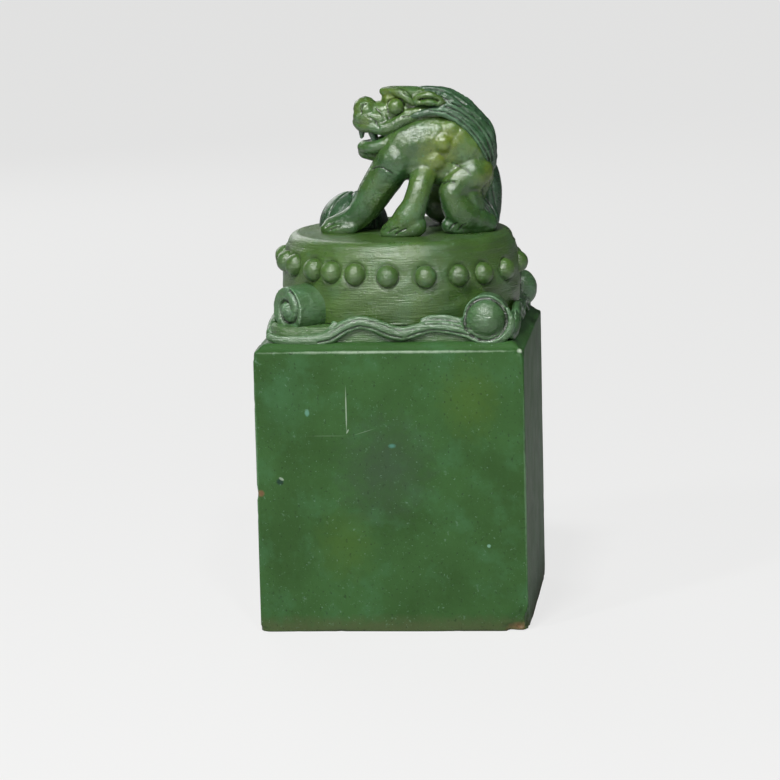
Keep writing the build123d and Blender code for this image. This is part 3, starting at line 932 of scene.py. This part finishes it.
torso_line = (
    (398, 150, -5.2, 3.6), (412, 143, -4.8, 4.6), (434, 138, -3.8, 5.3), (455, 142, -3.2, 5.3),
    (469, 152, -2.8, 4.3), (476, 164, -2.4, 3.2),
)
belly_line = ((404, 158, -5.4, 3.6), (425, 160, -4.4, 4.2), (450, 164, -3.4, 4.2))
far_side_line = (
    (404, 150, -3, 3.6), (420, 148, -1.6, 4.6), (440, 148, -0.6, 4.9), (460, 152, -0.4, 4.8),
    (474, 162, -0.4, 4),
)
foreleg_right_line = (
    (397, 158, -6, 3.6), (387, 174, -5.2, 3.25), (377, 189, -4.5, 3.05), (368, 204, -3.8, 2.7),
    (358, 216, -3.2, 2.4), (346, 222.5, -2.8, 2.15), (333, 226.5, -2.4, 1.8),
)
paw_right_line = ((352, 228, -4.6, 1.2), (338, 230, -4.2, 1.25), (327, 229, -3.2, 1.2))
foreleg_left_line = (
    (427, 166, -5.6, 2.4), (422, 180, -7.8, 2.25), (419, 191, -9, 2.15), (415, 204, -9.4, 2.2),
    (409, 216, -9.4, 2.5), (400, 226, -9.2, 2.2), (389, 231.5, -8.8, 1.5),
)
paw_left_line = ((416, 226, -9.6, 1.9), (406, 230, -9.9, 1.5), (394, 232, -9.7, 1.3), (386, 233, -9.2, 1.1))
haunch_left_line = (
    (479.5, 171, -4.8, 2.5), (472, 174, -5.2, 3.2), (460, 181, -6, 2.8), (452, 193, -7.2, 2.35),
)
shank_left_line = (
    (453.5, 198, -7, 2.4), (458, 208, -6.6, 2.7), (464, 215, -6, 2.8), (474, 219, -5, 2.4),
    (488, 222, -3.8, 1.7),
)
calf_line = ((466, 194, -4.8, 3), (468, 206, -4.4, 3))
foot_left_line = (
    (449, 225, -6.8, 1.4), (462, 226.5, -6.2, 1.5), (478, 226.5, -5, 1.4), (490, 224.5, -4, 1.3),
)
rump_line = ((477, 166, -2, 2.9), (478, 178, -1.6, 2.8), (473, 190, -1.4, 2.7), (470, 205, -1.2, 2.7))
haunch_right_line = ((466, 165, 3, 3.9), (448, 176, 5, 3.9), (432, 190, 6.4, 3.1))
shank_right_line = ((432, 194, 6.6, 2.6), (440, 208, 6.8, 2.6), (458, 214, 6.6, 2.2), (474, 216, 6.2, 1.6))
tail_line = (
    (485, 166, 0.4, 2), (488, 176, 0.4, 2.1), (490, 188, 0.4, 2.1), (490.5, 201, 0.2, 2),
    (489.5, 212, 0, 2), (488, 221, -0.2, 1.8),
)
tail_tuft_line = ((483, 204, -2, 1.1), (489, 212, -2, 1.3), (493, 219, -1.8, 1.2), (484, 222, -2, 1))
paw_sink = 0.5
flank_bumps = ((450.8, 128.5, -6.7, 1.7), (443, 142.5, -7.5, 1.9), (434.5, 159, -6.5, 2.4), (404, 153, -7.2, 1.8))


def build_body():
    clay = []
    photo_limbs(
        clay, torso_line, belly_line, foreleg_right_line, foreleg_left_line, haunch_left_line,
        shank_left_line, foot_left_line, rump_line, haunch_right_line, shank_right_line,
        far_side_line, paw_right_line, paw_left_line, calf_line,
    )
    for across, down, depth, radius in flank_bumps:
        add_ball(clay, spot(across, down, depth), radius)
    skin = skin_of(clay, lion_grain, polish=20)
    cuts = (
        (((372, 168.5), (377, 167), (383, 168), (391.7, 173.5)), 0.8, 0.3),
        (((438.5, 200), (438, 192), (441, 184), (447, 181), (454, 182)), 1, 0.35),
        (((452, 163), (459, 166), (466, 169), (471, 175)), 0.7, 0.2),
        (((385, 228), (376, 231), (366, 232)), 1.2, 0.2),
        (((326, 227), (330, 224), (334, 223)), 0.6, 0.3),
        (((330, 230), (335, 227), (340, 226)), 0.6, 0.3),
        (((388, 233), (392, 230), (398, 228)), 0.6, 0.3),
        (((396, 234), (401, 231), (406, 229)), 0.6, 0.3),
        (((450, 229), (453, 225), (457, 223)), 0.6, 0.25),
        (((459, 230), (462, 226), (466, 224)), 0.6, 0.25),
    )
    carve_photo(skin, cuts, limit=0)
    roughen(skin, (0.05, 1.8, 0), (0.02, 0.7, 2))
    keep_above(skin, drum_top - paw_sink)
    nodes = (
        "lion_torso", "lion_foreleg_right", "lion_foreleg_left", "lion_haunch_left", "lion_shank_left",
        "lion_haunch_right", "lion_shank_right",
    )
    make_piece("lion_body_stone", skin, lion_stone, nodes)


def build_tail():
    clay = []
    photo_limbs(clay, tail_line, stretch=(1, 1.4, 1))
    photo_limbs(clay, tail_tuft_line)
    skin = skin_of(clay, lion_grain, polish=3)
    cuts = (
        (((483, 202), (488, 208), (491, 216), (492, 222)), 0.8, 0.35),
        (((487, 200), (492, 207), (496, 215)), 0.7, 0.3), (((491, 180), (493, 192), (496, 206)), 0.7, 0.25),
    )
    carve_photo(skin, cuts)
    keep_above(skin, drum_top - paw_sink)
    make_piece("lion_tail_stone", skin, mane_stone, ("lion_tail",))


# Head: skull, muzzle, jaw and brows in one skin, then eyes, ears and teeth

head_middle = -4.5


def across_from(place, middle):
    """The place's reflection about a depth along Y."""
    return Vector((place.x, 2 * middle - place.y, place.z))


def both_ways(clay, *lines, middle=head_middle, stretch=(1, 1, 1)):
    """Limbs on the near side and their reflections on the far side."""
    for stations in lines:
        near = [(spot(x, y, depth), radius) for x, y, depth, radius in stations]
        add_limb(clay, near, stretch)
        add_limb(clay, [(across_from(place, middle), radius) for place, radius in near], stretch)


skull_line = (
    (438, 112, -3.8, 3.4), (424, 104, -4.1, 3), (408, 100, -4.5, 2.6), (394, 98.5, -4.5, 2.2),
)
neck_line = ((440, 116, -4.6, 2.4), (424, 119, -4.8, 2.6), (408, 123, -4.9, 2.3), (398, 127, -5, 1.8))
face_line = ((402, 111, -4.5, 2.9), (388, 113, -4.5, 2.4), (375, 114.5, -4.5, 2.3))
nose_middle = spot(365.3, 108.3, -4.5)
nose_radius = 2.1
lip_line = (
    (359.8, 121.5, -4.6, 1.3), (363, 126, -5.4, 1.15), (371, 126.5, -6.3, 1.1), (383, 128.5, -6.8, 1.2),
    (393, 125.5, -7, 1.2), (404, 119, -7.1, 1.15), (416, 115, -6.9, 0.9),
)
snout_line = ((362, 116, -5.2, 1.6), (371, 118, -5.7, 1.7), (382, 119, -5.9, 1.6))
cheek_line = ((405, 113.5, -7, 0.7), (417, 112, -7.2, 0.75), (430, 110.5, -7, 0.7), (441, 109, -6.4, 0.5))
jaw_line = (
    (363.5, 147, -5, 1.1), (370, 147.5, -6.2, 1.15), (380, 146, -6.7, 1.15), (390, 141, -6.8, 1.1),
    (398, 136, -6.6, 1.2),
)
jaw_floor_line = ((366, 151, -4.5, 1.4), (376, 150, -4.5, 1.9), (388, 145, -4.5, 2.1), (398, 139, -4.5, 2.2))
brow_line = (
    (384, 91, -4.9, 0.85), (392, 90, -5.9, 0.85), (401, 93.5, -6.9, 0.85), (408, 98.5, -7.4, 0.75),
    (413, 103, -7.4, 0.45),
)
nostril_line = ((367.3, 110.3, -6.2, 0.85), (367.8, 110.3, -6.3, 0.85))
crest_line = ((390, 89, -4.5, 1), (402, 89, -4.5, 1.3), (414, 91, -4.5, 1.3))


def build_head():
    clay = []
    photo_limbs(clay, skull_line, face_line, jaw_floor_line, crest_line)
    add_ball(clay, nose_middle, nose_radius, (1, 1.15, 1))
    both_ways(clay, lip_line, jaw_line, brow_line, nostril_line, snout_line, neck_line, cheek_line)
    skin = skin_of(clay, lion_grain, polish=4)
    cuts = (
        (((361.5, 113), (360.5, 109), (362.5, 104.5), (366.5, 103.5)), 0.7, 0.35),
        (
            ((388, 112), (387, 106), (389, 100.5), (395, 98.5), (401, 100), (404, 105), (402.5, 111), (396, 115)),
            0.8, 0.35,
        ),
        (((369, 117.5), (375, 121), (379, 127)), 0.9, 0.25),
        (((376, 108), (380, 112), (384, 117)), 0.9, 0.25),
        (((395, 132), (408, 128.5), (424, 122), (440, 118)), 1, 0.3),
        (((402, 117), (414, 116), (428, 114), (440, 112)), 0.8, 0.25),
        (((404, 93), (412, 97), (418, 103)), 0.8, 0.3),
    )
    carve_photo(skin, cuts, head_middle, mirrored=True)
    keep_below(skin, carving_top)
    nodes = ("lion_head", "lion_lower_jaw", "lion_nostrils", "lion_brows")
    make_piece("lion_head_stone", skin, lion_stone, nodes)


eye_middle = spot(395.6, 106.5, -7)
eye_radius = 1.38


def build_eyes():
    eyes = []
    for middle in (eye_middle, across_from(eye_middle, head_middle)):
        add_ball(eyes, middle, eye_radius, form=stud_ball)
    make_piece("lion_eyes_stone", clay_mesh(eyes), lion_stone, ("lion_eyes",))


ear_line = (
    (413.5, 102.5, -7.4, 0.6), (421, 98.5, -8, 1.1), (429, 98.5, -8.2, 1.3), (437, 100.5, -7.9, 0.95),
    (444, 102.5, -7.3, 0.35),
)
ear_hollow = (((419, 100.5), (427, 98.5), (434, 99.5), (438, 101)), 2, 0.85)


def build_ears():
    clay = []
    both_ways(clay, ear_line, stretch=(1, 0.75, 1))
    skin = skin_of(clay, ear_grain, polish=2)
    carve_photo(skin, (ear_hollow,), head_middle, mirrored=True)
    make_piece("lion_ears_stone", skin, lion_stone, ("lion_ears",))


fang_line = ((371.5, 132, -5.9, 0.62), (373.5, 138, -5.9, 0.5), (375.8, 144, -5.8, 0.22))
side_tooth_line = ((361.5, 131, -5.3, 0.5), (361.5, 137, -5.3, 0.3))


def build_teeth():
    teeth = []
    both_ways(teeth, fang_line, side_tooth_line)
    make_piece("lion_teeth_stone", skin_of(teeth, tooth_grain, polish=2), mane_stone, ("lion_teeth",))


# Mane: a cape from nape to rump, flame locks on it and a banded edge

mane_middle = -2.6
mane_line = (
    (428, 101, -3.8, 2.9), (444, 108, -3.2, 3.6), (459, 121, -2.8, 4.1), (471, 137, -2.4, 3.9),
    (480, 153, -2, 3), (485, 164, -1.8, 1.8),
)
lock_lines = (
    (
        (418, 89.5, -4.2, 0.7), (428, 89, -4.4, 1.1), (443, 94, -4.4, 1.2), (459, 103.5, -4.2, 1),
        (478, 117.5, -3.8, 0.3),
    ),
    ((424, 91, -2.4, 0.9), (438, 93, -2.2, 1.2), (455, 102, -2, 1.1), (474, 115.5, -1.8, 0.3)),
    ((438, 93.5, -6.4, 0.4), (446, 97.5, -6.6, 0.9), (455, 104, -6.4, 0.95), (466, 111, -6, 0.35)),
    ((446, 102, -6.9, 0.35), (451, 104, -7, 0.75), (459, 109.5, -6.6, 0.8), (470, 117, -6, 0.3)),
    ((424, 92, -0.4, 0.9), (440, 96, 0.6, 1.2), (456, 106, 1, 1), (472, 118, 1, 0.35)),
)
strand_lines = (
    (
        (404, 119.5, -7.2, 0.3), (418, 114.5, -7.6, 0.6), (434, 111.5, -7.7, 0.7), (450, 115.5, -7.4, 0.75),
        (465, 124.5, -7, 0.8), (477.5, 137.5, -6.5, 0.8), (485.5, 151, -5.9, 0.75), (490, 164, -4.6, 0.5),
    ),
    (
        (430, 107, -7.2, 0.35), (444, 107.5, -7.2, 0.7), (459, 113.5, -6.9, 0.78), (474, 124, -6.2, 0.85),
        (484.5, 138.5, -5.6, 0.85), (490, 152, -4.8, 0.75), (492.5, 165, -3.6, 0.5),
    ),
    (
        (446, 104, -6.7, 0.35), (460, 108.5, -6.5, 0.7), (475, 117.5, -5.7, 0.8), (486.5, 130, -4.8, 0.85),
        (491.5, 146, -3.8, 0.8), (493, 162, -2.8, 0.5),
    ),
)


def build_mane():
    clay = []
    photo_limbs(clay, mane_line, *lock_lines)
    both_ways(clay, *strand_lines, middle=mane_middle)
    skin = skin_of(clay, lion_grain, polish=1)
    cuts = (
        (((430, 110), (445, 111.5), (458, 118.5), (470, 129), (481, 143), (488, 156), (490.5, 165)), 0.85, 0.5),
        (((446, 106.5), (460, 111.5), (474, 121), (485.5, 135), (491.5, 150), (493, 163)), 0.85, 0.5),
        (((449, 102.5), (462, 106), (473, 112.5), (480, 118)), 0.7, 0.45),
        (((424, 94), (436, 95.5), (450, 101), (464, 109), (476, 117)), 0.7, 0.4),
        (((430, 88), (442, 90.5), (454, 96), (466, 104.5)), 0.6, 0.3),
        (((436, 92), (446, 96), (452, 100)), 0.5, 0.3),
    )
    carve_photo(skin, cuts, mane_middle, mirrored=True)
    roughen(skin, (0.05, 0.7, 3))
    keep_below(skin, carving_top)
    make_piece("lion_mane_stone", skin, mane_stone, ("lion_mane", "lion_mane_locks"))


band_depth = 0.25
band_width = 0.3


def build_ball():
    """The half-round ball behind the right forepaw, with crossing bands."""
    low, high = (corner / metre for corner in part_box("brocade_ball"))
    middle = (low + high) / 2
    middle.z = low.z
    radius = (high.x - low.x) / 2
    clay = bmesh.new()
    bmesh.ops.create_icosphere(clay, subdivisions=6, radius=radius - 0.05, matrix=Matrix.Translation(middle))
    skin = mesh_of(clay)
    places, normals = vertex_arrays(skin)
    offset = places - np.array(middle)
    for band in (offset[:, 0], offset[:, 1], offset[:, 0] + offset[:, 1], offset[:, 0] - offset[:, 1]):
        places -= normals * (band_depth * bell(band, band_width))[:, None]
    set_places(skin, places)
    keep_above(skin, drum_top - paw_sink)
    make_piece("brocade_ball_stone", skin, mane_stone, ("brocade_ball",))


for build in (build_block, build_face, build_plinth, build_drum, build_studs):
    build()
build_side("front", 0, "front_right")
build_side("right", 1, "back_right")
build_side("back", 2, "back_left")
build_side("left", 3, None)
for build in (
    build_roll, build_body, build_tail, build_head, build_eyes, build_ears, build_teeth, build_mane, build_ball,
):
    build()


# Floor, light and camera

white_seen = (0.93, 0.93, 0.925, 1)
floor_white_share = 0.8
floor_grey = (0.6, 0.6, 0.6, 1)
sky_colour = (0.92, 0.95, 1, 1)
sky_strength = 0.06
object_middle = Vector((0, 0, 0.05))


def seen_as(tree, shader, strength):
    """Lets a surface look plainly white to the camera while it keeps the object's soft shadow."""
    node = tree.nodes.new
    link = tree.links.new
    paths = node("ShaderNodeLightPath")
    either = node("ShaderNodeMath")
    either.operation = "MAXIMUM"
    link(paths.outputs["Is Camera Ray"], either.inputs[0])
    link(paths.outputs["Is Transmission Ray"], either.inputs[1])
    share = node("ShaderNodeMath")
    share.operation = "MULTIPLY"
    share.inputs[1].default_value = strength
    link(either.outputs["Value"], share.inputs[0])
    glow = node("ShaderNodeEmission")
    set_inputs(glow, {"Color": white_seen})
    mix = node("ShaderNodeMixShader")
    link(share.outputs["Value"], mix.inputs["Fac"])
    link(shader, mix.inputs[1])
    link(glow.outputs["Emission"], mix.inputs[2])
    return mix.outputs["Shader"]


def build_floor():
    floor = bmesh.new()
    bmesh.ops.create_grid(floor, x_segments=1, y_segments=1, size=3)
    mesh = mesh_of(floor)
    material = bpy.data.materials.new("floor_pale")
    material.use_nodes = True
    tree = material.node_tree
    shader = tree.nodes["Principled BSDF"]
    set_inputs(shader, {"Base Color": floor_grey, "Roughness": 0.7})
    seen = seen_as(tree, shader.outputs["BSDF"], floor_white_share)
    tree.links.new(seen, tree.nodes["Material Output"].inputs["Surface"])
    mesh.materials.append(material)
    new_object("floor", mesh)


def build_lamp(name, place, size, power):
    data = bpy.data.lights.new(name, "AREA")
    data.shape = "RECTANGLE"
    data.size, data.size_y = size
    data.energy = power
    lamp = new_object(name, data)
    way = object_middle - Vector(place)
    lamp.matrix_world = Matrix.Translation(place) @ way.to_track_quat("-Z", "Y").to_matrix().to_4x4()


def build_camera():
    data = bpy.data.cameras.new("camera")
    data.sensor_width = sensor_width
    data.lens = camera_focal_pixels * sensor_width / photo_size
    data.clip_end = 20
    camera = new_object("camera", data)
    axes = Matrix((view_right, view_up, view_back)).transposed().to_4x4()
    camera.matrix_world = Matrix.Translation(eye * metre) @ axes
    bpy.context.scene.camera = camera


def build_world():
    world = bpy.data.worlds.new("studio")
    bpy.context.scene.world = world
    world.use_nodes = True
    tree = world.node_tree
    backdrop = tree.nodes["Background"]
    set_inputs(backdrop, {"Color": sky_colour, "Strength": sky_strength})
    seen = seen_as(tree, backdrop.outputs["Background"], 1)
    tree.links.new(seen, tree.nodes["World Output"].inputs["Surface"])


build_floor()
build_lamp("key_left", (-0.3, -0.46, 0.42), (0.05, 0.1), 1.5)
build_lamp("key_right", (0.14, -0.5, 0.46), (0.05, 0.08), 1.1)
build_lamp("top", (-0.05, -0.36, 0.56), (0.09, 0.05), 2.6)
build_lamp("front_fill", (-0.1, -0.8, 0.22), (0.5, 0.4), 0.3)
build_lamp("back_fill", (-0.3, 0.55, 0.3), (0.4, 0.3), 0.9)
build_camera()
build_world()
bpy.context.scene.view_settings.view_transform = "Standard"
